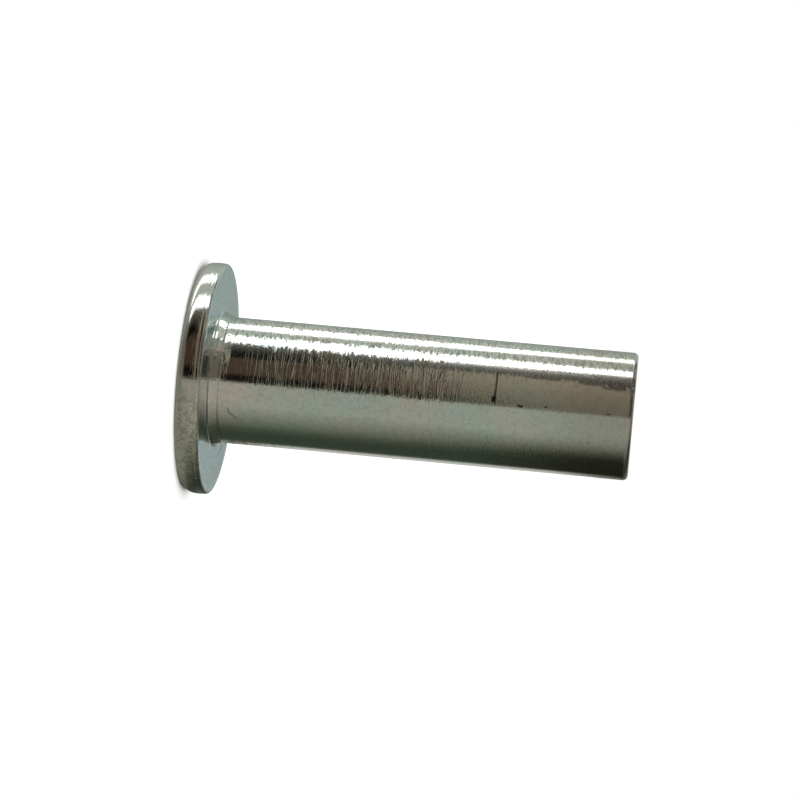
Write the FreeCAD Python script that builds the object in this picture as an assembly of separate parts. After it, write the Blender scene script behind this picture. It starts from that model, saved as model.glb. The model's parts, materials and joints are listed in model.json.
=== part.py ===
"""Semi-tubular flat-head rivet, cold-formed in one piece from steel wire and zinc plated.

Millimetres, +Z up. The rivet stands on its flat head: the origin is the centre of the head's outer
face, and the shank points up along +Z to the hollow tail. The body is one revolved half section.
"""
import FreeCAD, Part
import math
import os

# Head
head_diameter = 11.2
head_thickness = 1.15
crown_radius = 0.50          # large round between the outer face and the rim
rim_barrel_radius = 2.4      # slight bulge of the rim between its two rounds
rim_lower_radius = 0.16      # small round between the rim and the seating face

# Neck, where the heading die's mouth leaves a short flare under the head
neck_length = 0.44
neck_swell = 0.17            # how much the flare's root stands out from the shank
neck_step = 0.035            # witness step where the flare meets the shank
neck_fillet = 0.10           # round between the flare and the seating face

# Shank
shank_diameter = 6.1
shank_length = 20.0          # from the seating face to the tail
tail_radius = 0.24           # outer round of the tail

# Hollow tail, extruded by a punch
wall = 0.70
bore_depth = 6.5             # straight wall, from the tail's rim to the punch's shoulder
mouth_radius = 0.20          # inner round of the tail
punch_corner = 0.30          # round where the wall meets the cone
punch_cone_angle = 118.0     # included angle of the punch's nose

# Witness ring that the punch's stop leaves round the shank, level with the bore's shoulder
ring_width = 0.10
ring_depth = 0.02

AXIS = FreeCAD.Vector(0, 0, 1)
ORIGIN = FreeCAD.Vector(0, 0, 0)


def section_point(radius, height):
    """A point of the half section, which lies in the XZ plane."""
    return FreeCAD.Vector(radius, 0, height)


def arc(centre_radius, centre_height, radius, first, last):
    """An arc of the half section, counterclockwise between two angles in radians."""
    def at(angle):
        return section_point(centre_radius + radius * math.cos(angle), centre_height + radius * math.sin(angle))

    return Part.Arc(at(first), at((first + last) / 2), at(last))


def head_arcs():
    """The rim: crown, slight barrel and lower round, three arcs that meet without a kink."""
    lower_height = head_thickness - rim_lower_radius
    widest = (crown_radius + lower_height) / 2
    barrel_centre = head_diameter / 2 - rim_barrel_radius
    to_crown = rim_barrel_radius - crown_radius
    to_lower = rim_barrel_radius - rim_lower_radius
    crown_turn = math.asin((widest - crown_radius) / to_crown)
    lower_turn = math.asin((lower_height - widest) / to_lower)
    crown_centre = barrel_centre + to_crown * math.cos(crown_turn)
    lower_centre = barrel_centre + to_lower * math.cos(lower_turn)
    return [
        arc(crown_centre, crown_radius, crown_radius, -math.pi / 2, -crown_turn),
        arc(barrel_centre, widest, rim_barrel_radius, -crown_turn, lower_turn),
        arc(lower_centre, lower_height, rim_lower_radius, lower_turn, math.pi / 2),
    ]


def neck_corners():
    """The flare under the head, as (radius, height, round): a fillet, a steep cone and a fine step."""
    body = shank_diameter / 2
    foot = head_thickness + neck_length
    return [
        (body + neck_swell, head_thickness, neck_fillet),
        (body + neck_step, foot, 0),
        (body, foot + neck_step, 0),
    ]


def ring_corners():
    """A shallow V round the shank at the depth of the bore's straight wall."""
    body = shank_diameter / 2
    level = head_thickness + shank_length - bore_depth
    return [
        (body, level - ring_width / 2, 0),
        (body - ring_depth, level, 0),
        (body, level + ring_width / 2, 0),
    ]


def tail_corners():
    """The rounded rim of the tail, the straight bore and the cone that the punch's nose leaves."""
    body = shank_diameter / 2
    bore = body - wall
    end = head_thickness + shank_length
    shoulder = end - bore_depth
    cone_height = bore / math.tan(math.radians(punch_cone_angle / 2))
    return [
        (body, end, tail_radius),
        (bore, end, mouth_radius),
        (bore, shoulder, punch_corner),
        (0, shoulder - cone_height, 0),
    ]


def rounded_corner(before, corner, after, radius):
    """The arc of the given radius that is tangent to both sides of a corner."""
    to_before = (before - corner).normalize()
    to_after = (after - corner).normalize()
    half_angle = to_before.getAngle(to_after) / 2
    reach = radius / math.tan(half_angle)
    bisector = (to_before + to_after).normalize()
    centre = corner + bisector * (radius / math.sin(half_angle))
    middle = centre - bisector * radius
    return Part.Arc(corner + to_before * reach, middle, corner + to_after * reach)


def rounded_wire(arcs, corners):
    """A closed wire: the centre, the given arcs, then the corners, each with its own tangent round."""
    centre = section_point(0, 0)
    edges = [Part.LineSegment(centre, arcs[0].StartPoint).toShape()]
    edges += [piece.toShape() for piece in arcs]
    pen = arcs[-1].EndPoint
    points = [pen] + [section_point(radius, height) for radius, height, _ in corners] + [centre]
    for i in range(1, len(points) - 1):
        radius = corners[i - 1][2]
        if radius > 0:
            rounding = rounded_corner(points[i - 1], points[i], points[i + 1], radius)
            edges.append(Part.LineSegment(pen, rounding.StartPoint).toShape())
            edges.append(rounding.toShape())
            pen = rounding.EndPoint
        else:
            edges.append(Part.LineSegment(pen, points[i]).toShape())
            pen = points[i]
    edges.append(Part.LineSegment(pen, centre).toShape())
    return Part.Wire(edges)


def rivet():
    """The whole body, turned from its half section."""
    corners = neck_corners() + ring_corners() + tail_corners()
    section = Part.Face(rounded_wire(head_arcs(), corners))
    return section.revolve(ORIGIN, AXIS, 360)


def main():
    os.makedirs("parts", exist_ok=True)
    body = rivet()
    body.exportStep("parts/rivet.step")
    print("rivet: valid", body.isValid(), "volume mm3", round(body.Volume, 2),
          "height mm", round(body.optimalBoundingBox(False, False).ZLength, 3))


main()
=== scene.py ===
# %% [markdown]
# # A tubular rivet, zinc plated, standing on its head
#
# The real rivet is cold-formed from steel wire: a die squeezes the flat head, a punch opens the hole
# in the tail, and a bath lays a skin of bright zinc over everything. This lesson takes its sizes from
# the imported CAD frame, turns one fine skin that shows what the tools left behind, gives it a plating
# material, and lights it in a small studio. The frame comes first, because everything is measured
# from it.

# %% Load the frame and keep its box
import json
import math
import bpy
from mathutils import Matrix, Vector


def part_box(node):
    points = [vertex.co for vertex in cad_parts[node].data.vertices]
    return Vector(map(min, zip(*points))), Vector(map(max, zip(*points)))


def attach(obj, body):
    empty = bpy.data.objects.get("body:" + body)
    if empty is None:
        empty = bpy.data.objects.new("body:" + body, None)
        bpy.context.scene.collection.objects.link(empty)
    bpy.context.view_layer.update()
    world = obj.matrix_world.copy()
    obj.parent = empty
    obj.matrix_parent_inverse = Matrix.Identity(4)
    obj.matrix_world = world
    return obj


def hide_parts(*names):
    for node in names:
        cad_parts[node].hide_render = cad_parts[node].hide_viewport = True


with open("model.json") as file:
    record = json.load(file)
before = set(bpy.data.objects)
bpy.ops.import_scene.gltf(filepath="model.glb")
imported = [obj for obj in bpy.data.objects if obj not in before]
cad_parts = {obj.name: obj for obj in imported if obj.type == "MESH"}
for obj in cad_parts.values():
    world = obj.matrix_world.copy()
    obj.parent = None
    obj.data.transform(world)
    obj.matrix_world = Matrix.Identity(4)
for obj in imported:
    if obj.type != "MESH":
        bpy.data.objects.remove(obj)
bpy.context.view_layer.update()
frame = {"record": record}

from types import SimpleNamespace

import bpy
import numpy as np
from mathutils import Matrix, Vector

# %% [markdown]
# ## Sizes
#
# The CAD record states the rivet's interfaces: the shank as a pin, the hole in the tail as a bore, and
# the head's inner face. Reading them keeps this skin on the CAD surface if the rivet is ever resized.
# Only the small rounds, which no interface states, are named here.

# %% Read the sizes
MM = 0.001
mounts = {mount["name"]: mount for mount in frame["record"]["mounts"]}
low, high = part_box("rivet")

head_radius = high[0]
height = high[2]
seat = mounts["head_bearing_face"]["pos_m"][2]
shank_radius = mounts["shank"]["dims"]["r_mm"] * MM
bore_radius = mounts["tail_bore"]["dims"]["r_mm"] * MM
bore_half = mounts["tail_bore"]["dims"]["length_mm"] * MM / 2
bore_floor = mounts["tail_bore"]["pos_m"][2] - bore_half
print("head", head_radius, "shank", shank_radius, "bore", bore_radius, "height", height)

# %% Name the small rounds and marks
CROWN = 0.50 * MM
RIM_BARREL = 2.4 * MM
RIM_ROUND = 0.16 * MM
GROOVE_DROP = 0.25 * MM
GROOVE_HALF = 0.06 * MM
GROOVE_DEPTH = 0.012 * MM
FILLET = 0.10 * MM
NECK_SWELL = 0.17 * MM
NECK_LENGTH = 0.44 * MM
NECK_STEP = 0.035 * MM
TAIL_ROUND = 0.24 * MM
MOUTH_ROUND = 0.20 * MM
CONE_ANGLE = math.radians(118)
RING_WIDTH = 0.10 * MM
RING_DEPTH = 0.02 * MM
RING_LEVEL = height - 6.5 * MM
print("punch ring in metres above the floor:", RING_LEVEL)

# %% [markdown]
# ## The half section
#
# A turned body is one outline carried round an axis. The outline is kept as a list of short runs:
# straight ones and arcs. It could be one spline, but a spline rounds every corner a little, and a
# maker's rounds are true arcs. The rings lie close together where the light changes fast, on the
# rounds and along the wrinkled part of the shank, and far apart on the plain stretches.

# %% Lines and arcs of the outline
def run(start, end, rings):
    """A straight run: start plus a share t of the way to the end, with t from 0 up to 1, 1 left out."""
    share = np.arange(rings)[:, None] / rings
    return np.array(start) + share * (np.array(end) - np.array(start))


def bend(centre, radius, first, last, rings):
    """An arc: centre plus radius times (cosine, sine) of an angle that goes from first to last."""
    turn = np.radians(first + (last - first) * np.arange(rings) / rings)
    return np.array(centre) + radius * np.column_stack([np.cos(turn), np.sin(turn)])


RINGS = {
    "outer face": 8, "crown": 14, "rim": 28, "rim round": 8, "inner face": 10, "fillet": 6,
    "flare": 8, "step": 3, "wrinkles": 190, "ring mark": 16, "plain tail": 30, "tail round": 9,
    "land": 3, "mouth": 8, "bore": 20, "cone": 8,
}
print("rings planned:", sum(RINGS.values()))

# %% [markdown]
# ## The rim
#
# The die leaves the rim slightly barrelled, with a large round towards the outer face and a small one
# towards the inner face. Three arcs with centres set by hand would meet with a kink, which a mirror
# finish shows at once. So only the radii are named, and the centres follow from the rule that two arcs
# that touch share a normal. The fine groove that the die leaves is pressed in afterwards.

# %% Centres of the rim's arcs
round_level = seat - RIM_ROUND
widest = (CROWN + round_level) / 2
to_crown = RIM_BARREL - CROWN
to_round = RIM_BARREL - RIM_ROUND
crown_turn = math.asin((widest - CROWN) / to_crown)
round_turn = math.asin((round_level - widest) / to_round)
barrel_centre = head_radius - RIM_BARREL
crown_centre = barrel_centre + to_crown * math.cos(crown_turn)
round_centre = barrel_centre + to_round * math.cos(round_turn)
crown_end = -math.degrees(crown_turn)
round_start = math.degrees(round_turn)
print("the barrel runs from", round(crown_end, 1), "to", round(round_start, 1), "degrees")

# %% The barrelled rim with its groove
rim = bend((barrel_centre, widest), RIM_BARREL, crown_end, round_start, RINGS["rim"])
to_groove = np.abs(rim[:, 1] - (seat - GROOVE_DROP))
rim[:, 0] -= GROOVE_DEPTH * np.clip(1 - to_groove / GROOVE_HALF, 0, 1)
print("widest radius of the rim in metres:", rim[:, 0].max())

# %% The head and neck, from the outer face's centre to the foot of the shank
neck_root = shank_radius + NECK_SWELL
neck_foot = seat + NECK_LENGTH
shank_start = neck_foot + NECK_STEP
head_part = [
    run((0, 0), (crown_centre, 0), RINGS["outer face"]),
    bend((crown_centre, CROWN), CROWN, -90, crown_end, RINGS["crown"]),
    rim,
    bend((round_centre, round_level), RIM_ROUND, round_start, 90, RINGS["rim round"]),
    run((round_centre, seat), (neck_root + FILLET, seat), RINGS["inner face"]),
    bend((neck_root + FILLET, seat + FILLET), FILLET, 270, 180, RINGS["fillet"]),
    run((neck_root, seat + FILLET), (shank_radius + NECK_STEP, neck_foot), RINGS["flare"]),
    run((shank_radius + NECK_STEP, neck_foot), (shank_radius, shank_start), RINGS["step"]),
]
print("rings in head and neck:", sum(len(part) for part in head_part))

# %% The shank, in a wrinkled stretch and a short one for the punch's ring
ring_start = RING_LEVEL - RING_WIDTH
ring_end = RING_LEVEL + RING_WIDTH
shank_part = run((shank_radius, shank_start), (shank_radius, ring_start), RINGS["wrinkles"])
ring_part = run((shank_radius, ring_start), (shank_radius, ring_end), RINGS["ring mark"])
ring_gap = shank_part[1, 1] - shank_part[0, 1]
print("gap between wrinkle rings in metres:", ring_gap)

# %% The tail and the bore, to the point of the punch's cone
land_outer = shank_radius - TAIL_ROUND
land_inner = bore_radius + MOUTH_ROUND
cone_point = bore_floor - bore_radius / math.tan(CONE_ANGLE / 2)
tail_part = [
    run((shank_radius, ring_end), (shank_radius, height - TAIL_ROUND), RINGS["plain tail"]),
    bend((land_outer, height - TAIL_ROUND), TAIL_ROUND, 0, 90, RINGS["tail round"]),
    run((land_outer, height), (land_inner, height), RINGS["land"]),
    bend((land_inner, height - MOUTH_ROUND), MOUTH_ROUND, 90, 180, RINGS["mouth"]),
    run((bore_radius, height - MOUTH_ROUND), (bore_radius, bore_floor), RINGS["bore"]),
    run((bore_radius, bore_floor), (0, cone_point), RINGS["cone"]),
    np.array([[0, cone_point]]),
]
outline = np.vstack(head_part + [shank_part, ring_part] + tail_part)
first_wrinkle = sum(len(part) for part in head_part)
first_ring = first_wrinkle + RINGS["wrinkles"]
print("rings in the outline:", len(outline))

# %% [markdown]
# ## Wrinkles from the forming die
#
# Where the wire was squeezed against the die, its skin buckled into short ridges that run round the
# shank. They could be painted on, but real ridges also catch light at a shallow angle. Filtered noise
# makes them: white noise is smoothed far along the ridge and little across it, which is one product
# in the frequency domain, and it closes on itself round the shank with no seam.

# %% Wrinkles as filtered noise
COLUMNS = 264
RIDGE_HEIGHT = 0.0006 * MM
RIDGE_ACROSS = 0.05 * MM
RIDGE_ALONG = 0.35 * MM
rng = np.random.default_rng(11)


def ridges(rows, columns, spacing, across, along):
    """White noise times a bell curve in frequency, one width across the ridges and one along them.

    The columns run round the shank and repeat. The result is scaled to a spread of 1."""
    noise = np.fft.fft2(rng.standard_normal((rows, columns)))
    rise = np.fft.fftfreq(rows, spacing)[:, None]
    turn = np.fft.fftfreq(columns, 2 * math.pi * shank_radius / columns)[None, :]
    bell = np.exp(-2 * math.pi ** 2 * ((rise * across) ** 2 + (turn * along) ** 2))
    field = np.fft.ifft2(noise * bell).real
    return field / field.std()


def smooth_step(low_end, high_end, value):
    """0 below the low end and 1 above the high end, with an eased cubic between them."""
    share = np.clip((value - low_end) / (high_end - low_end), 0, 1)
    return share * share * (3 - 2 * share)


buckles = ridges(RINGS["wrinkles"], COLUMNS, ring_gap, RIDGE_ACROSS, RIDGE_ALONG)
print("highest buckle, as a share of the spread:", round(float(buckles.max()), 2))

# %% Where the wrinkles start and stop
WRINKLE_START = (seat + 0.6 * MM, seat + 1.6 * MM)
WRINKLE_STOP = (seat + 10.6 * MM, seat + 13.2 * MM)
presence = smooth_step(*WRINKLE_START, shank_part[:, 1])
presence = presence * (1 - smooth_step(*WRINKLE_STOP, shank_part[:, 1]))
swell = np.zeros((len(outline), COLUMNS))
swell[first_wrinkle:first_ring] = buckles * presence[:, None] * RIDGE_HEIGHT
print("tallest ridge in micrometres:", round(float(swell.max()) * 1e6, 2))

# %% [markdown]
# ## The punch's ring
#
# The hole in the tail is pushed open by a punch, and the wire below it is held by a stop. The stop
# leaves a fine ring mark, and it bit deepest on the side that faces the camera. A cut all round would
# look like a turned groove, so the depth follows the angle round the shank.

# %% The ring mark, deepest on one side
BITE_START = (0, 5)
BITE_STOP = (24, 31)
BITE_ELSEWHERE = 0.02
column_turn = 2 * math.pi * np.arange(COLUMNS) / COLUMNS
facing = np.degrees(np.arctan2(-np.cos(column_turn), -np.sin(column_turn)))
bite = smooth_step(*BITE_START, facing) * (1 - smooth_step(*BITE_STOP, facing))
notch = np.clip(1 - np.abs(ring_part[:, 1] - RING_LEVEL) / (RING_WIDTH / 2), 0, 1)
bite_depth = RING_DEPTH * (BITE_ELSEWHERE + (1 - BITE_ELSEWHERE) * bite)
swell[first_ring:first_ring + RINGS["ring mark"]] = -notch[:, None] * bite_depth
print("deepest bite in micrometres:", round(float(-swell.min()) * 1e6, 2))

# %% [markdown]
# ## Turning the skin
#
# The surface is a function of two parameters, the ring and the angle. Each point is the outline's
# radius, plus the swell, carried to that angle. A Screw modifier could turn the outline too, but it
# could not carry a swell that changes round the axis. The two ends of the outline lie on the axis, so
# each becomes one point with a fan of triangles, and the skin is closed.

# %% Points and faces of a turned skin
def turned(section, relief, columns):
    """x is radius times cosine, y is radius times sine, and z is the section's height."""
    turn = 2 * math.pi * np.arange(columns) / columns
    radius = section[1:-1, 0][:, None] + relief[1:-1]
    level = np.broadcast_to(section[1:-1, 1][:, None], radius.shape)
    rings = np.stack([radius * np.cos(turn), radius * np.sin(turn), level], axis=-1)
    poles = np.array([[0, 0, section[0, 1]], [0, 0, section[-1, 1]]])
    return np.vstack([rings.reshape(-1, 3), poles])


def turned_faces(rings, columns):
    """Quads between neighbouring rings, and a fan of triangles at each pole."""
    here = np.arange(columns)
    beside = (here + 1) % columns
    base = np.arange(rings - 1)[:, None] * columns
    quads = np.stack([base + here, base + beside, base + columns + beside, base + columns + here], -1)
    first, last = rings * columns, rings * columns + 1
    top = (rings - 1) * columns
    fan_low = np.column_stack([np.full(columns, first), beside, here])
    fan_high = np.column_stack([np.full(columns, last), top + here, top + beside])
    return quads.reshape(-1, 4).tolist() + fan_low.tolist() + fan_high.tolist()


points = turned(outline, swell, COLUMNS)
faces = turned_faces(len(outline) - 2, COLUMNS)
print("points:", len(points), "triangles:", sum(len(face) - 2 for face in faces))

# %% The skin as a piece that replaces the CAD node
mesh = bpy.data.meshes.new("rivet_skin")
mesh.from_pydata(points.tolist(), [], faces)
mesh.shade_smooth()
rivet_skin = bpy.data.objects.new("rivet_skin", mesh)
bpy.context.scene.collection.objects.link(rivet_skin)
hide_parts("rivet")
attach(rivet_skin, "root")
print("piece:", rivet_skin.name)

# %% [markdown]
# ## Node helpers
#
# A procedural material is a small graph. These helpers add a node with its settings, join two
# sockets, and do one step of arithmetic, so that the graphs below read like a recipe. Written out
# node by node, the same graphs would be several times as long and hide what they mean.

# %% Nodes and arithmetic
def add(tree, kind, inputs=None, **settings):
    """One node with its settings and the values of its input sockets."""
    node = tree.nodes.new(kind)
    for name, value in settings.items():
        setattr(node, name, value)
    for name, value in (inputs or {}).items():
        node.inputs[name].default_value = value
    return node


def plug(tree, source, target):
    """Joins an output to an input, or sets the input if the source is a plain value."""
    if isinstance(source, bpy.types.NodeSocket):
        tree.links.new(source, target)
    else:
        target.default_value = source


def maths(tree, operation, *values, clamp=False):
    """One Math node, fed by sockets or numbers, and its result."""
    node = add(tree, "ShaderNodeMath", operation=operation, use_clamp=clamp)
    for value, target in zip(values, node.inputs):
        plug(tree, value, target)
    return node.outputs[0]


def product(tree, first, *others):
    """Several values multiplied, which for masks means where all of them hold."""
    for other in others:
        first = maths(tree, "MULTIPLY", first, other)
    return first


def vectors(tree, operation, first, second=None, output=0):
    """One Vector Math node, fed by sockets or vectors, and one of its results."""
    node = add(tree, "ShaderNodeVectorMath", operation=operation)
    plug(tree, first, node.inputs[0])
    if second is not None:
        plug(tree, second, node.inputs["Scale" if operation == "SCALE" else 1])
    return node.outputs[output]


def parts_of(tree, vector):
    """The x, y and z of a vector."""
    split = add(tree, "ShaderNodeSeparateXYZ")
    plug(tree, vector, split.inputs[0])
    return split.outputs


print("node helpers ready for", bpy.app.version_string)

# %% Soft steps, mixes and colours
def eased(tree, value, start, end, low=0.0, high=1.0):
    """A smooth step of a value: low before start, high after end."""
    node = add(tree, "ShaderNodeMapRange", interpolation_type="SMOOTHSTEP")
    plug(tree, value, node.inputs["Value"])
    for name, number in (("From Min", start), ("From Max", end), ("To Min", low), ("To Max", high)):
        plug(tree, number, node.inputs[name])
    return node.outputs["Result"]


def within(tree, value, limits, soft_start, soft_end):
    """1 between two limits, with a soft step of its own width at each."""
    start = eased(tree, value, limits[0] - soft_start / 2, limits[0] + soft_start / 2)
    end = eased(tree, value, limits[1] - soft_end / 2, limits[1] + soft_end / 2, 1.0, 0.0)
    return product(tree, start, end)


def blended(tree, share, first, second):
    """A mix of two colours, each a socket or a plain colour."""
    node = add(tree, "ShaderNodeMix", data_type="RGBA")
    plug(tree, share, node.inputs[0])
    plug(tree, first, node.inputs[6])
    plug(tree, second, node.inputs[7])
    return node.outputs[2]


def paint(red, green, blue):
    """A colour as it looks on screen, 0 to 255, as the linear colour that a shader needs."""
    screen = np.array([red, green, blue]) / 255
    linear = np.where(screen <= 0.04045, screen / 12.92, ((screen + 0.055) / 1.055) ** 2.4)
    return (*linear.tolist(), 1.0)


def turn_round_axis(tree, x, y):
    """The angle round the upright axis in degrees.

    It is 0 towards the camera and grows towards the top of the picture."""
    angle = maths(tree, "ARCTAN2", product(tree, x, -1), product(tree, y, -1))
    return product(tree, angle, 180 / math.pi)


print("mid grey on screen is", round(paint(128, 128, 128)[0], 3), "in linear light")

# %% [markdown]
# ## Effects as node groups
#
# Three effects are used again and again: a satin grain, which metal and floor share, the place on the
# rivet that every mask needs, and the straight mark of a scratch. Copied nodes would be long and easy
# to get wrong, so each effect is a group with named sockets, built once.

# %% A new group, and the satin grain
def new_group(name, inputs, outputs):
    """An empty node group with named sockets, and its entry and exit."""
    tree = bpy.data.node_groups.new(name, "ShaderNodeTree")
    for socket, kind in inputs:
        tree.interface.new_socket(socket, in_out="INPUT", socket_type=kind)
    for socket in outputs:
        tree.interface.new_socket(socket, in_out="OUTPUT", socket_type="NodeSocketFloat")
    entry = add(tree, "NodeGroupInput")
    leave = add(tree, "NodeGroupOutput")
    return tree, entry, leave


def satin_grain():
    """A group: fine noise with two finer layers in it, as a mask from 0 to 1."""
    sockets = [("Vector", "NodeSocketVector"), ("Grains per metre", "NodeSocketFloat")]
    tree, entry, leave = new_group("satin grain", sockets, ["Grain"])
    noise = add(tree, "ShaderNodeTexNoise", {"Detail": 2.0, "Roughness": 0.6})
    plug(tree, entry.outputs["Vector"], noise.inputs["Vector"])
    plug(tree, entry.outputs["Grains per metre"], noise.inputs["Scale"])
    plug(tree, noise.outputs["Fac"], leave.inputs["Grain"])
    return tree


GRAIN = satin_grain()


def grain(tree, vector, size):
    """The satin grain with grains of a size in metres."""
    node = add(tree, "ShaderNodeGroup", node_tree=GRAIN)
    plug(tree, vector, node.inputs["Vector"])
    plug(tree, 1 / size, node.inputs["Grains per metre"])
    return node.outputs["Grain"]


print("group made:", GRAIN.name)

# %% Place on the rivet
def rivet_place():
    """A group: distance from the axis, height, and the angle round the axis in degrees."""
    sockets = [("Vector", "NodeSocketVector")]
    tree, entry, leave = new_group("place on the rivet", sockets, ["Radius", "Height", "Angle"])
    x, y, z = parts_of(tree, entry.outputs["Vector"])
    squares = maths(tree, "ADD", product(tree, x, x), product(tree, y, y))
    plug(tree, maths(tree, "SQRT", squares), leave.inputs["Radius"])
    plug(tree, z, leave.inputs["Height"])
    plug(tree, turn_round_axis(tree, x, y), leave.inputs["Angle"])
    return tree


PLACE = rivet_place()
print("group made:", PLACE.name)

# %% A straight mark between two points
MARK_SOFT = (0.3, 1.0)


def scratch_mark():
    """A group: 1 near the straight line between two points, fading to 0 at the mark's width."""
    sockets = [(name, "NodeSocketVector") for name in ("Vector", "Start", "End")]
    sockets.append(("Width", "NodeSocketFloat"))
    tree, entry, leave = new_group("scratch mark", sockets, ["Mask"])
    way = vectors(tree, "SUBTRACT", entry.outputs["End"], entry.outputs["Start"])
    reach = vectors(tree, "SUBTRACT", entry.outputs["Vector"], entry.outputs["Start"])
    along = vectors(tree, "DOT_PRODUCT", reach, way, 1)
    whole = vectors(tree, "DOT_PRODUCT", way, way, 1)
    share = maths(tree, "DIVIDE", along, whole, clamp=True)
    gap = vectors(tree, "DISTANCE", reach, vectors(tree, "SCALE", way, share), 1)
    ratio = maths(tree, "DIVIDE", gap, entry.outputs["Width"])
    plug(tree, eased(tree, ratio, *MARK_SOFT, 1.0, 0.0), leave.inputs["Mask"])
    return tree


MARK = scratch_mark()
print("group made:", MARK.name)

# %% [markdown]
# ## Scratches, pits and stains
#
# A loose rivet has a few marks of its own: a curved hair scratch near the neck, pits near the tail,
# scuffs on the inner face, and brownish stains that dried under the lower light strip. A dark line of
# painted shade follows the punch's ring groove. Noise can't place a single scratch, so each is a short
# straight mark between two points on the surface, and two marks end to end make a bent one.

# %% Marks and where they lie
# On the shank: start and end as millimetres above the inner face and degrees round the axis, width in
# millimetres, and how dark the mark is.
SHANK_MARKS_AND_GROOVE_SHADE = [
    (0.95, -26.0, 1.04, -31.0, 0.05, 0.55),
    (1.04, -31.0, 1.34, -34.5, 0.05, 0.55),
    (14.64, 0.4, 14.80, 0.0, 0.085, 0.90),
    (15.88, 1.6, 15.96, 1.5, 0.07, 0.65),
    (18.80, 0.2, 18.92, 0.0, 0.07, 0.60),
    (18.02, -27.8, 18.04, -26.6, 0.05, 0.50),
    # The last two are painted shade: a dark line in the punch's ring groove, with a wider dot at one
    # end.
    (13.44, 3.0, 13.46, 5.6, 0.15, 0.95),
    (13.48, 6.0, 13.50, 28.5, 0.055, 0.85),
]
# On the inner face: start and end as millimetres from the axis and degrees round it.
FACE_MARKS = [
    (4.30, -131.0, 4.12, -119.0, 0.10, 0.75),
    (4.18, -123.0, 3.98, -112.0, 0.07, 0.60),
    (4.40, -97.0, 4.28, -94.0, 0.08, 0.50),
    (4.90, -70.0, 4.55, -60.0, 0.03, 0.35),
    (4.75, -150.0, 5.05, -128.0, 0.025, 0.30),
    (3.90, 118.0, 4.60, 131.0, 0.025, 0.30),
]
# On the shank again, wide and broken up by the grain.
STAINS = [
    (11.2, 32.5, 19.9, 30.5, 0.22, 0.60),
    (17.5, 28.5, 19.9, 26.5, 0.26, 0.60),
    (18.6, 26.8, 19.8, 25.6, 0.34, 0.70),
    (14.9, 28.5, 16.4, 28.0, 0.16, 0.55),
    (18.2, 34.2, 19.9, 33.8, 0.20, 0.65),
]
print("marks:", len(SHANK_MARKS_AND_GROOVE_SHADE) + len(FACE_MARKS), "stains:", len(STAINS))

# %% Marks as a mask
def on_shank(above_seat, degrees):
    """A point of the shank's surface, from its height above the inner face and its angle."""
    turn = math.radians(degrees)
    return (-shank_radius * math.sin(turn), -shank_radius * math.cos(turn), seat + above_seat * MM)


def on_face(from_axis, degrees):
    """A point of the head's inner face, from its distance to the axis and its angle."""
    turn = math.radians(degrees)
    return (-from_axis * MM * math.sin(turn), -from_axis * MM * math.cos(turn), seat)


def darkest(tree, place, marks, point):
    """The darkest of several marks at each place."""
    dark = 0.0
    for first, first_turn, last, last_turn, width, depth in marks:
        mark = add(tree, "ShaderNodeGroup", node_tree=MARK)
        plug(tree, place, mark.inputs["Vector"])
        mark.inputs["Start"].default_value = point(first, first_turn)
        mark.inputs["End"].default_value = point(last, last_turn)
        mark.inputs["Width"].default_value = width * MM
        dark = maths(tree, "MAXIMUM", dark, product(tree, mark.outputs["Mask"], depth))
    return dark


print("the bent scratch starts at", on_shank(*SHANK_MARKS_AND_GROOVE_SHADE[0][:2]))

# %% [markdown]
# ## Zones of the plating
#
# The plating differs from place to place: wrinkled along the shank, duller on the low side of the
# rim, drawn into long lines in the bore, warmer and darker at the tail's edge. Painted maps would
# need unwrapping. Two zones hold painted shade: the neck's upper corner and the shank towards the tail.
# The rivet is round, so a zone is only a range of radius, height and angle, with soft ends. At the
# back the angle jumps from 180 to -180 degrees, so a zone that isn't faded out before it ends there in
# a hard edge. The wrinkled zone fades out, and the rim's low side doesn't: its edge shows from behind.

# %% Place and zones of the shank
def rivet_spot(tree):
    """Object coordinates, with the radius, height and angle that belong to them."""
    place = add(tree, "ShaderNodeTexCoord").outputs["Object"]
    where = add(tree, "ShaderNodeGroup", node_tree=PLACE)
    plug(tree, place, where.inputs["Vector"])
    radius, level, angle = where.outputs
    return SimpleNamespace(place=place, radius=radius, level=level, angle=angle)


def wrinkled_zone(tree, spot):
    """Where the skin is cracked: from above the neck to just below the ring, mostly on one side."""
    start = eased(tree, spot.level, seat + 1.2 * MM, seat + 3.0 * MM, 0.1, 1.0)
    stop = eased(tree, spot.level, seat + 10.6 * MM, seat + 12.6 * MM, 1.0, 0.0)
    outside = eased(tree, spot.level, seat + 0.3 * MM, seat + 0.5 * MM)
    underside = eased(tree, spot.angle, -24, -6, 0.06, 1.0)
    back = eased(tree, spot.angle, 150, 178, 1.0, 0.06)
    return product(tree, start, stop, outside, underside, back)


def shank_zone(tree, spot):
    """The outside of the shank, between the neck and the tail's round."""
    outside = eased(tree, spot.radius, shank_radius - 0.12 * MM, shank_radius - 0.06 * MM)
    above = eased(tree, spot.level, seat + 0.5 * MM, seat + 0.7 * MM)
    return product(tree, outside, above)


print("the wrinkled zone ends at", seat + 12.6 * MM, "metres")

# %% Zones of the neck
def neck_zone(tree, spot):
    """The flare and fillet at the foot of the shank, mostly on its upper side."""
    near = eased(tree, spot.radius, head_radius - 2.0 * MM, head_radius - 1.6 * MM, 1.0, 0.0)
    below = eased(tree, spot.level, seat + 0.5 * MM, seat + 0.9 * MM, 1.0, 0.0)
    above = eased(tree, spot.level, seat + 0.02 * MM, seat + 0.1 * MM)
    return product(tree, near, below, above, eased(tree, spot.angle, -5, 30, 0.2, 1.0))


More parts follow.
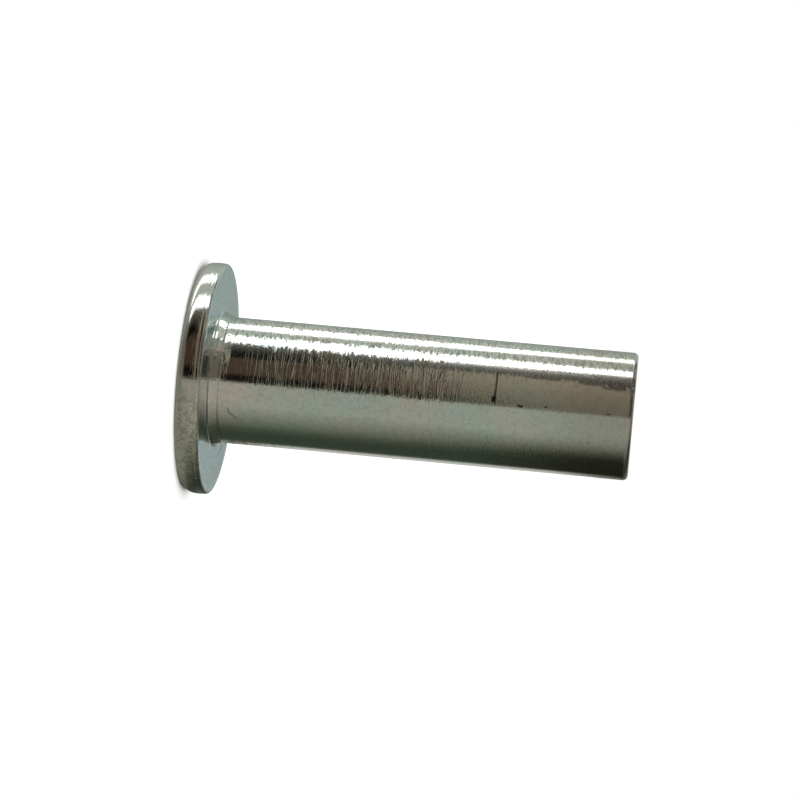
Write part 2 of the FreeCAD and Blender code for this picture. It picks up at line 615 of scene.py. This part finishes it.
def corner_shade_zone(tree, spot):
    """The upper side of the neck and of the shank beside it, with a painted shade of dark teal in the
    corner.
    """
    below = eased(tree, spot.level, seat + 0.5 * MM, seat + 1.5 * MM, 0.70, 0.0)
    above = eased(tree, spot.level, seat + 0.02 * MM, seat + 0.08 * MM)
    near = eased(tree, spot.radius, head_radius - 2.2 * MM, head_radius - 1.8 * MM, 1.0, 0.0)
    return product(tree, below, near, within(tree, spot.angle, (66, 150), 20, 30), above)


print("the neck swells to a radius of", neck_root)

# %% All zones
def rivet_zones(tree, spot):
    """Every zone that the tint, the roughness and the relief ask for."""
    inside = eased(tree, spot.radius, bore_radius + 0.05 * MM, bore_radius + 0.15 * MM, 1.0, 0.0)
    bore = product(tree, inside, eased(tree, spot.level, seat, seat + MM))
    outer = maths(tree, "SUBTRACT", 1.0, bore)
    shank = shank_zone(tree, spot)
    tail_edge = eased(tree, spot.level, height - 0.24 * MM, height - 0.12 * MM)
    return SimpleNamespace(
        rim=eased(tree, spot.radius, head_radius - 0.55 * MM, head_radius - 0.2 * MM),
        low_side=eased(tree, spot.angle, -18, -3, 1.0, 0.0),
        face=within(tree, spot.level, (seat - 0.04 * MM, seat + 0.04 * MM), 0.04 * MM, 0.04 * MM),
        neck=neck_zone(tree, spot),
        # Painted shade: a dark teal in the neck's upper corner.
        corner=corner_shade_zone(tree, spot),
        upper=product(tree, eased(tree, spot.angle, 18, 30), shank),
        wrinkled=product(tree, wrinkled_zone(tree, spot), outer),
        # Where painted shade darkens the shank towards the tail.
        tail=eased(tree, spot.level, seat + 14.8 * MM, seat + 18.6 * MM),
        tail_edge=product(tree, tail_edge, outer),
        bore=bore,
    )


print("the bore's zone has a radius of", bore_radius + 0.15 * MM)

# %% [markdown]
# ## Noises of the plating
#
# Bright zinc is a mirror that has been roughened very finely. A satin grain breaks up each highlight,
# faint clouds of teal and straw show where the sealing bath dried, and short dashes and cracks show
# how the die dragged the skin. Each is noise at its own size. Noise stretched along or round the axis
# makes the marks that have a direction.

# %% Noises
def stretched_noise(tree, place, around, upward, detail=2.0):
    """Noise on the object's own coordinates with one size round the axis and one along it."""
    mapping = add(tree, "ShaderNodeMapping", {"Scale": (1 / around, 1 / around, 1 / upward)})
    plug(tree, place, mapping.inputs["Vector"])
    noise = add(tree, "ShaderNodeTexNoise", {"Scale": 1.0, "Detail": detail, "Roughness": 0.5})
    plug(tree, mapping.outputs["Vector"], noise.inputs["Vector"])
    return noise.outputs["Fac"]


def turned_lines(tree, spot, spacing, length):
    """Fine lines that run round the rim, as noise of the distance along the rim's own section."""
    across = maths(tree, "DIVIDE", maths(tree, "SUBTRACT", spot.level, spot.radius), spacing)
    x, y, _ = parts_of(tree, spot.place)
    join = add(tree, "ShaderNodeCombineXYZ")
    plug(tree, maths(tree, "DIVIDE", x, length), join.inputs[0])
    plug(tree, maths(tree, "DIVIDE", y, length), join.inputs[1])
    plug(tree, across, join.inputs[2])
    noise = add(tree, "ShaderNodeTexNoise", {"Scale": 1.0, "Detail": 2.0, "Roughness": 0.6})
    plug(tree, join.outputs[0], noise.inputs["Vector"])
    return noise.outputs["Fac"]


def rivet_noises(tree, spot):
    """Every noise of the plating, each named for what it looks like."""
    fine = grain(tree, spot.place, 0.10 * MM)
    speck = grain(tree, spot.place, 0.24 * MM)
    return SimpleNamespace(
        fine=fine,
        speck=speck,
        mottle=maths(tree, "MULTIPLY_ADD", fine, 0.5, product(tree, speck, 0.5)),
        cloud=stretched_noise(tree, spot.place, 3.2 * MM, 3.2 * MM),
        teeth=stretched_noise(tree, spot.place, 0.34 * MM, 0.11 * MM, 1.0),
        wave=stretched_noise(tree, spot.place, 0.55 * MM, 0.40 * MM),
        draw=stretched_noise(tree, spot.place, 0.07 * MM, 4.0 * MM),
        crack=stretched_noise(tree, spot.place, 3.2 * MM, 0.20 * MM, 1.0),
        patch=stretched_noise(tree, spot.place, 0.9 * MM, 0.5 * MM),
        lines=turned_lines(tree, spot, 0.07 * MM, 1.6 * MM),
    )


print("satin grains across the shank:", round(2 * shank_radius / (0.10 * MM)))

# %% [markdown]
# ## Tint
#
# The metal's colour is what it does to the light it mirrors, so it is nearly white all over. It is
# built in layers, dirt and wear as they lie on the real rivet and painted shade among them: clouds
# first, painted shade towards the tail, then the duller rim with painted shade at its bottom and the
# inner face, lighter on its low side, then dashes, spangle, painted shade in the neck's corner and
# pits, a warmer tail edge, and the dark marks last, with painted shade in the ring groove among them.

# %% Colours of the plating
PLATING = {
    "teal cloud": (211, 222, 218),
    "straw cloud": (222, 220, 214),
    # Painted shade: the shank darkens towards the tail.
    "duller tail": (202, 200, 193),
    "pitted rim": (194, 193, 180),
    "low rim": (226, 226, 214),
    # Painted shade: the rim darkens towards its bottom.
    "rim bottom": (72, 72, 64),
    "upper rim": (205, 206, 199),
    "clean face": (246, 248, 252),
    "upper face": (226, 231, 228),
    "dried face": (150, 158, 158),
    "dash": (132, 134, 128),
    "spangle": (124, 124, 116),
    # Painted shade: a dark teal in the neck's upper corner.
    "corner": (128, 152, 150),
    "pit": (90, 88, 80),
    "worn edge": (192, 184, 178),
    "dark mark": (34, 24, 18),
}


def plated(name):
    """A colour of the plating, for a shader."""
    return paint(*PLATING[name])


print("colours:", len(PLATING))

# %% Tint of the rim and the inner face
def rim_tint(tree, spot, zones, noises):
    """The rim: bright above, mottled on its low side, with painted shade darkening its bottom."""
    mottled = eased(tree, noises.mottle, 0.38, 0.60)
    dull_and_shaded = blended(tree, mottled, plated("pitted rim"), plated("low rim"))
    # Painted shade: the rim darkens towards its bottom.
    bottom = eased(tree, spot.angle, -80, -46, 0.9, 0.0)
    dull_and_shaded = blended(tree, bottom, dull_and_shaded, plated("rim bottom"))
    return blended(tree, zones.low_side, plated("upper rim"), dull_and_shaded)


def face_tint(tree, spot, noises):
    """The inner face: lighter towards its low side, with faint dried spots."""
    bright = blended(tree, eased(tree, spot.angle, -70, 50), plated("clean face"), plated("upper face"))
    dried = eased(tree, noises.speck, 0.40, 0.60, 0.22, 0.0)
    return blended(tree, dried, bright, plated("dried face"))


print("the inner face lies at", seat, "metres")

# %% Dashes and dark marks
def dashes(tree, spot, zones, noises):
    """Short dark dashes round the shank's upper side, fainter towards the back."""
    dash = eased(tree, noises.teeth, 0.36, 0.56, 0.55, 0.0)
    return product(tree, dash, zones.upper, eased(tree, spot.angle, 85, 130, 1.0, 0.25))


def dark_marks(tree, spot, noises):
    """Scratches on the shank with the painted shade in the ring groove, and scuffs and stains broken up
    by the grain.
    """
    scuffs = darkest(tree, spot.place, FACE_MARKS, on_face)
    scuffs = product(tree, scuffs, eased(tree, noises.speck, 0.34, 0.50))
    stains = darkest(tree, spot.place, STAINS, on_shank)
    stains = product(tree, stains, eased(tree, noises.mottle, 0.36, 0.50))
    scratches_and_groove_shade = darkest(tree, spot.place, SHANK_MARKS_AND_GROOVE_SHADE, on_shank)
    return maths(tree, "MAXIMUM", maths(tree, "MAXIMUM", scratches_and_groove_shade, scuffs), stains)


print("widest mark in millimetres:", max(mark[4] for mark in SHANK_MARKS_AND_GROOVE_SHADE + FACE_MARKS))

# %% All layers of the tint
def plating_tint(tree, spot, zones, noises, dark):
    """All layers of the tint, from the clouds up to the dark marks."""
    clouds = eased(tree, noises.cloud, 0.38, 0.62)
    tint = blended(tree, clouds, plated("teal cloud"), plated("straw cloud"))
    # Painted shade: the shank darkens towards the tail.
    tint = blended(tree, zones.tail, tint, plated("duller tail"))
    tint = blended(tree, zones.rim, tint, rim_tint(tree, spot, zones, noises))
    tint = blended(tree, zones.face, tint, face_tint(tree, spot, noises))
    tint = blended(tree, dashes(tree, spot, zones, noises), tint, plated("dash"))
    spangle = eased(tree, noises.mottle, 0.38, 0.58, 0.12, 0.0)
    tint = blended(tree, spangle, tint, plated("spangle"))
    # Painted shade: a dark teal in the neck's upper corner.
    tint = blended(tree, zones.corner, tint, plated("corner"))
    pits = eased(tree, product(tree, noises.fine, noises.speck), 0.16, 0.24, 0.07, 0.0)
    tint = blended(tree, pits, tint, plated("pit"))
    # A warmer, darker tone on the tail's round edge and end face.
    tint = blended(tree, zones.tail_edge, tint, plated("worn edge"))
    return blended(tree, dark, tint, plated("dark mark"))


print("the teal clouds in linear light:", [round(part, 3) for part in plated("teal cloud")[:3]])

# %% [markdown]
# ## Roughness and relief
#
# How sharply the metal mirrors is set by the roughness, and how the reflections break up by the
# relief. A bump is right for cracks and grain, which have a height. The ragged edges of the light
# strips are wider than any crack: there the surface only leans a little to and fro, so the normal is
# swayed round the axis instead, which costs no height at all.

# %% Roughness
SATIN = (0.08, 0.13)
LOW_RIM_MORE = 0.24
BORE_MORE = 0.14
MARK_MORE = 0.3


def plating_roughness(tree, zones, noises, dark):
    """Satin all over, duller on the low rim, in the bore and in dark marks."""
    rough = eased(tree, noises.fine, 0.3, 0.7, *SATIN)
    rough = maths(tree, "MULTIPLY_ADD", product(tree, zones.rim, zones.low_side), LOW_RIM_MORE, rough)
    rough = maths(tree, "MULTIPLY_ADD", zones.bore, BORE_MORE, rough)
    return maths(tree, "MULTIPLY_ADD", dark, MARK_MORE, rough)


print("satin roughness:", SATIN)

# %% Bumps and sway
GRAIN_RELIEF = 0.0025 * MM
WAVE_RELIEF = 0.05 * MM
SPECK_RELIEF = 0.004 * MM
CRACK_RELIEF = 0.0045 * MM
LINE_RELIEF = 0.009 * MM
DRAW_RELIEF = 0.02 * MM
WRINKLED_SWAY = 0.16
PLAIN_SWAY = 0.08


def bump(tree, relief, distance, normal=None):
    """A bump of a height in metres, laid over an earlier one."""
    node = add(tree, "ShaderNodeBump", {"Strength": 1.0, "Distance": distance})
    plug(tree, relief, node.inputs["Height"])
    if normal:
        plug(tree, normal, node.inputs["Normal"])
    return node.outputs["Normal"]


def swayed(tree, place, amount, normal):
    """Turns a normal round the rivet's axis: adds the direction round the axis times an amount."""
    x, y, _ = parts_of(tree, place)
    across = add(tree, "ShaderNodeCombineXYZ")
    plug(tree, product(tree, y, -1), across.inputs[0])
    plug(tree, x, across.inputs[1])
    way = vectors(tree, "NORMALIZE", across.outputs[0])
    total = vectors(tree, "ADD", normal, vectors(tree, "SCALE", way, amount))
    return vectors(tree, "NORMALIZE", total)


print("largest lean in degrees:", round(math.degrees((WRINKLED_SWAY + PLAIN_SWAY) / 2), 1))

# %% Relief
def cracks(tree, zones, noises):
    """Thin lines where stretched noise crosses its middle, and the broken zone they lie in."""
    zone = product(tree, zones.wrinkled, eased(tree, noises.patch, 0.36, 0.60, 0.25, 1.0))
    crease = maths(tree, "ABSOLUTE", maths(tree, "SUBTRACT", noises.crack, 0.5))
    return product(tree, eased(tree, crease, 0.0, 0.055, 1.0, 0.0), zone), zone


def plating_relief(tree, spot, zones, noises):
    """Grain, neck waves, cracks, rim lines and drawn bore as bumps, then the sway of the shank."""
    crease, zone = cracks(tree, zones, noises)
    upper_rim = product(tree, zones.rim, eased(tree, spot.angle, -8, 6, 0.3, 1.0))
    normal = bump(tree, noises.fine, GRAIN_RELIEF)
    normal = bump(tree, product(tree, noises.wave, zones.neck), WAVE_RELIEF, normal)
    normal = bump(tree, product(tree, noises.speck, zone), SPECK_RELIEF, normal)
    normal = bump(tree, crease, CRACK_RELIEF, normal)
    normal = bump(tree, product(tree, noises.lines, upper_rim), LINE_RELIEF, normal)
    normal = bump(tree, product(tree, noises.draw, zones.bore), DRAW_RELIEF, normal)
    sway = maths(tree, "MULTIPLY_ADD", zone, WRINKLED_SWAY, PLAIN_SWAY)
    sway = product(tree, zones.upper, sway, eased(tree, spot.angle, 36, 52, 1.0, 0.5))
    lean = product(tree, maths(tree, "SUBTRACT", noises.teeth, 0.5), sway)
    return swayed(tree, spot.place, lean, normal)


print("deepest crack in micrometres:", CRACK_RELIEF * 1e6)

# %% The plating on the skin
def zinc_plate():
    """Bright zinc: mirror metal with a tint, a roughness and a relief that change over the rivet."""
    material = bpy.data.materials.new("bright_zinc")
    material.use_nodes = True
    tree = material.node_tree
    metal = tree.nodes["Principled BSDF"]
    metal.inputs["Metallic"].default_value = 1.0
    spot = rivet_spot(tree)
    zones = rivet_zones(tree, spot)
    noises = rivet_noises(tree, spot)
    dark = dark_marks(tree, spot, noises)
    plug(tree, plating_tint(tree, spot, zones, noises, dark), metal.inputs["Base Color"])
    plug(tree, plating_roughness(tree, zones, noises, dark), metal.inputs["Roughness"])
    plug(tree, plating_relief(tree, spot, zones, noises), metal.inputs["Normal"])
    return material


plating = zinc_plate()
rivet_skin.data.materials.append(plating)
print("nodes in the plating:", len(plating.node_tree.nodes))

# %% [markdown]
# ## The room round the rivet
#
# Polished metal has hardly a look of its own: what the eye reads as metal is the room in it. The room
# could be built from cards and cloths, but each would have to be aimed by trial. Here it is a world
# instead, and its tone is a function of an angle round the room and a rise above level. Three ramps of
# colour go round the rivet, seen looking up, level and down. A few slots, a ceiling and an underside
# are laid over them, and two long light strips hang on one side.

# %% Tones of the room
# The tones are colours as they look in the metal, 0 to 255.
TONES = {
    "wall": (155, 170, 168),
    "dim wall": (105, 115, 110),
    "lit wall": (185, 190, 180),
    "screen": (170, 175, 165),
    "teal shade": (82, 105, 104),
    "pale edge": (175, 175, 170),
    "cloth": (32, 34, 26),
    "lit cloth": (52, 60, 50),
    "near cloth": (68, 74, 62),
    "table end": (94, 98, 86),
    "table": (140, 145, 135),
    "warm table": (150, 145, 136),
    "gap": (8, 6, 5),
    "shelf": (64, 50, 40),
    "lit shelf": (122, 115, 100),
    "shelf edge": (138, 130, 115),
    "low shelf": (104, 100, 88),
    "pale shelf": (96, 86, 76),
    "top shelf": (150, 138, 122),
    "fringe": (84, 82, 74),
    "lit fringe": (140, 138, 132),
    "ceiling": (48, 48, 43),
    "pale ceiling": (126, 128, 122),
    "skylight": (112, 108, 98),
    "under": (120, 120, 110),
}
METAL_SHARE = 0.72
STRIP_LIGHT = 2.9
BACKDROP = 1.0


def seen(name):
    """The room's own light that makes the metal look like a tone."""
    return [part / METAL_SHARE for part in paint(*TONES[name])[:3]] + [1.0]


print("tones:", len(TONES))

# %% Stops of the three ramps
# Each stop is an angle round the room in degrees, 0 towards the camera, then the tone seen looking
# up, the tone seen level and the tone seen looking down. A ramp skips a stop that has None.
UP, LEVEL, DOWN = 1, 2, 3
ROOM = [
    (-180, "wall", "dim wall", "dim wall"),
    (-158, "table end", "table end", "table end"),
    (-148, None, "near cloth", "near cloth"),
    (-132, "lit cloth", "lit cloth", "lit cloth"),
    (-108, "lit cloth", "lit cloth", "lit cloth"),
    (-94, "near cloth", "near cloth", "near cloth"),
    (-82, "table end", "table end", "table end"),
    (-44, "warm table", "table", "warm table"),
    (-4, "warm table", "table", "warm table"),
    (-2, "pale shelf", "low shelf", "gap"),
    (9, None, None, "gap"),
    (13, None, None, "shelf"),
    (30, None, "lit shelf", None),
    (41, "pale shelf", None, "shelf"),
    (44, None, None, "gap"),
    (53, None, "shelf edge", "gap"),
    (59, "top shelf", "fringe", None),
    (65, None, None, "fringe"),
    (72, "lit fringe", "lit fringe", "fringe"),
    (84, "screen", "screen", "screen"),
    (107, "screen", "screen", "screen"),
    (120, "lit wall", "lit wall", "lit wall"),
    (168, "wall", None, None),
    (180, "wall", "dim wall", "dim wall"),
]


def ramp(tree, turn, column):
    """A colour ramp over one turn of the room."""
    node = add(tree, "ShaderNodeValToRGB")
    plug(tree, turn, node.inputs["Fac"])
    stops = node.color_ramp.elements
    while len(stops) > 1:
        stops.remove(stops[-1])
    used = [stop for stop in ROOM if stop[column] is not None]
    for number, stop in enumerate(used):
        place = (stop[0] + 180) / 360
        element = stops.new(place) if number else stops[0]
        element.position = place
        element.color = seen(stop[column])
    return node.outputs["Color"]


print("stops:", len(ROOM))

# %% [markdown]
# ## Walls, ceiling and underside
#
# The camera looks down on the head a little, so head and shank mirror different heights of the room.
# The line between the level tones and the low ones dips over the table, which sets where the bands
# near the neck begin. The ceiling stays dark over the shelf and pale elsewhere, and straight up there
# is one even tone, because all angles meet at that point and any change would show as a hard split.

# %% Slots and soft bands of the room
# A slot is a tone, its two angles and their softness, and its two rises and their softness.
TEAL_SLOT = ("teal shade", (64, 158), (16, 24), (29, 40), (4, 6))
SLOTS = [
    ("cloth", (-147, -75), (4, 46), (-2.6, 4), (2.5, 4)),
    ("pale edge", (-178, -145), (4, 14), (-8.0, -1.0), (1.2, 1.6)),
    ("gap", (-3, 8), (1, 4), (-9, -4.2), (2, 1)),
]
LEVEL_SOFT = 2.2
UP_RISE = (2, 17)
CEILING_RISE = (37, 47)
SKYLIGHT_RISE = (60, 80)
UNDER_RISE = (-20, -12)
FLOOR_RISE = (-70, -45)


def slotted(tree, walls, turn, rise, slot):
    """The walls with one slot of another tone."""
    tone, turns, turn_soft, rises, rise_soft = slot
    mask = product(tree, within(tree, turn, turns, *turn_soft), within(tree, rise, rises, *rise_soft))
    return blended(tree, mask, walls, seen(tone))


def level_line(tree, turn):
    """The rise where the level tones begin: low over the table, higher over the shelf."""
    table_to_shelf = eased(tree, turn, -6, 4, -8.0, -5.4)
    along_shelf = eased(tree, turn, 10, 55, 0, -1.4)
    return maths(tree, "ADD", table_to_shelf, along_shelf)


def room_walls(tree, turn, rise):
    """The three ramps, blended by the rise."""
    share = maths(tree, "MULTIPLY_ADD", turn, 1 / 360, 0.5)
    start = level_line(tree, turn)
    level = eased(tree, rise, start, maths(tree, "ADD", start, LEVEL_SOFT))
    walls = blended(tree, level, ramp(tree, share, DOWN), ramp(tree, share, LEVEL))
    return blended(tree, eased(tree, rise, *UP_RISE), walls, ramp(tree, share, UP))


print("slots:", len(SLOTS) + 1)

# %% Ceiling and underside
def overhead(tree, walls, turn, rise):
    """The walls with a ceiling on the shelf's side and one even tone straight above."""
    side = product(tree, eased(tree, turn, -4, 0), eased(tree, turn, 150, 180, 1.0, 0.0))
    tone = blended(tree, eased(tree, turn, 46, 66), seen("ceiling"), seen("pale ceiling"))
    walls = blended(tree, product(tree, eased(tree, rise, *CEILING_RISE), side), walls, tone)
    return blended(tree, eased(tree, rise, *SKYLIGHT_RISE), walls, seen("skylight"))


def underneath(tree, walls, turn, rise):
    """The walls with the tone that the head's round edge mirrors from below."""
    table = product(tree, eased(tree, rise, *UNDER_RISE, 1.0, 0.0), eased(tree, turn, -30, -4, 1.0, 0.0))
    low = maths(tree, "MAXIMUM", table, eased(tree, rise, *FLOOR_RISE, 1.0, 0.0))
    tone = blended(tree, eased(tree, turn, -10, 10), seen("under"), seen("low shelf"))
    return blended(tree, low, walls, tone)


print("straight up is", TONES["skylight"])

# %% [markdown]
# ## Light strips
#
# The two bright lines along the shank are long lamps on the upper side, seen in the metal. Area lights
# would do the same, but a polished cylinder shows their noise. In the world they are two ranges of
# angle. They seem to widen towards the head, because they are nearer there, so their width follows
# the rise.

# %% The light strips
STRIPS = [(73.2, 88.6), (109.2, 123.6)]
STRIP_RISE = (-50, 18)
STRIP_END_SOFT = 8
STRIP_SOFT = 1.2


def strip_width(tree, rise):
    """How much each half of a strip is narrowed, in degrees, and widened where it is below 0."""
    towards_tail = eased(tree, rise, -8, 0, -3.2, 1.8)
    past_neck = eased(tree, rise, -8.8, -7.0, 3.6, 0.0)
    return maths(tree, "ADD", towards_tail, past_neck)


def light_strips(tree, turn, rise):
    """A mask: 1 where a strip is seen, from its far end to its near end."""
    narrow = strip_width(tree, rise)
    light = 0.0
    for start, end in STRIPS:
        half = (end - start) / 2
        apart = maths(tree, "ABSOLUTE", maths(tree, "SUBTRACT", turn, (start + end) / 2))
        apart = maths(tree, "ADD", apart, narrow)
        strip = eased(tree, apart, half - STRIP_SOFT, half + STRIP_SOFT, 1.0, 0.0)
        light = maths(tree, "ADD", light, strip)
    return product(tree, light, within(tree, rise, STRIP_RISE, STRIP_END_SOFT, STRIP_END_SOFT))


print("strips in degrees round the room:", STRIPS)

# %% The room as a world
def studio_room():
    """The world: the room for the metal, and a plain pale backdrop for the camera."""
    world = bpy.data.worlds.new("studio_room")
    bpy.context.scene.world = world
    world.use_nodes = True
    tree = world.node_tree
    tree.nodes.clear()
    x, y, z = parts_of(tree, add(tree, "ShaderNodeTexCoord").outputs["Generated"])
    turn = turn_round_axis(tree, x, y)
    rise = product(tree, maths(tree, "ARCSINE", z), 180 / math.pi)

    walls = slotted(tree, room_walls(tree, turn, rise), turn, rise, TEAL_SLOT)
    walls = underneath(tree, overhead(tree, walls, turn, rise), turn, rise)
    for slot in SLOTS:
        walls = slotted(tree, walls, turn, rise, slot)
    lamps = (STRIP_LIGHT, STRIP_LIGHT, STRIP_LIGHT, 1.0)
    room = add(tree, "ShaderNodeBackground")
    plug(tree, blended(tree, light_strips(tree, turn, rise), walls, lamps), room.inputs["Color"])

    backdrop = add(tree, "ShaderNodeBackground", {"Color": (BACKDROP, BACKDROP, BACKDROP, 1.0)})
    choice = add(tree, "ShaderNodeMixShader")
    plug(tree, add(tree, "ShaderNodeLightPath").outputs["Is Camera Ray"], choice.inputs[0])
    plug(tree, room.outputs[0], choice.inputs[1])
    plug(tree, backdrop.outputs[0], choice.inputs[2])
    plug(tree, choice.outputs[0], add(tree, "ShaderNodeOutputWorld").inputs["Surface"])
    return world


studio = studio_room()
print("nodes in the room:", len(studio.node_tree.nodes))

# %% [markdown]
# ## Floor and overhead light
#
# The floor is a plain pale sweep. The metal doesn't mirror it, because the room already holds the
# pale tone that it would give. One large soft light overhead brightens the floor and draws the soft
# shadow that seats the rivet.

# %% Floor
FLOOR_REACH = 1.5
FLOOR_DROP = 0.002 * MM
FLOOR_GRAIN = 2 * MM


def pale_floor():
    """A large matte square just under the head."""
    signs = [(-1, -1), (1, -1), (1, 1), (-1, 1)]
    corners = [(x * FLOOR_REACH, y * FLOOR_REACH, -FLOOR_DROP) for x, y in signs]
    mesh = bpy.data.meshes.new("floor")
    mesh.from_pydata(corners, [], [(0, 1, 2, 3)])
    floor = bpy.data.objects.new("floor", mesh)
    bpy.context.scene.collection.objects.link(floor)
    mesh.materials.append(floor_paint())
    floor.visible_glossy = False
    floor.visible_shadow = False
    return floor


def floor_paint():
    """Matte white with hardly any grain."""
    material = bpy.data.materials.new("pale_floor")
    material.use_nodes = True
    tree = material.node_tree
    matte = tree.nodes["Principled BSDF"]
    matte.inputs["Roughness"].default_value = 1.0
    matte.inputs["Specular IOR Level"].default_value = 0.0
    place = add(tree, "ShaderNodeTexCoord").outputs["Object"]
    tone = blended(tree, grain(tree, place, FLOOR_GRAIN), paint(236, 236, 236), paint(240, 240, 240))
    plug(tree, tone, matte.inputs["Base Color"])
    return material


print("made:", pale_floor().name)

# %% Overhead light
LIGHT_STRENGTH = 3.8
LIGHT_SOFTNESS = math.radians(75)


def overhead_light():
    """A wide, soft sun straight above, which the metal doesn't mirror."""
    light = bpy.data.lights.new("overhead", "SUN")
    light.energy = LIGHT_STRENGTH
    light.angle = LIGHT_SOFTNESS
    lamp = bpy.data.objects.new("overhead", light)
    lamp.visible_glossy = False
    bpy.context.scene.collection.objects.link(lamp)
    return lamp


print("made:", overhead_light().name)

# %% [markdown]
# ## Camera
#
# The photograph shows the rivet lying across the frame, head left and tail right. Here it stands, so
# the camera is rolled instead. It is level with the tail's face, which is why the hole doesn't show,
# and it looks down a little at the head's inner face.

# %% Camera
CAMERA_DISTANCE = 126.5 * MM
CAMERA_SIDE = 0.21 * MM
AIM_HEIGHT = 9.97 * MM
ROLL = math.radians(90 + 5.23)
LENS_MM = 119.0
SENSOR_MM = 36.0


def studio_camera():
    """The camera looks at the middle of the shank, turned on its side."""
    data = bpy.data.cameras.new("camera")
    data.lens = LENS_MM
    data.sensor_width = SENSOR_MM
    data.clip_start = 0.01
    data.clip_end = 10.0
    camera = bpy.data.objects.new("camera", data)
    bpy.context.scene.collection.objects.link(camera)
    place = Vector((CAMERA_SIDE, -CAMERA_DISTANCE, height))
    look = Vector((CAMERA_SIDE, 0, AIM_HEIGHT)) - place
    upright = look.to_track_quat("-Z", "Y").to_matrix().to_4x4()
    camera.matrix_world = Matrix.Translation(place) @ upright @ Matrix.Rotation(ROLL, 4, "Z")
    return camera


bpy.context.scene.camera = studio_camera()
bpy.context.scene.view_settings.view_transform = "Standard"
print("camera distance in metres:", CAMERA_DISTANCE)
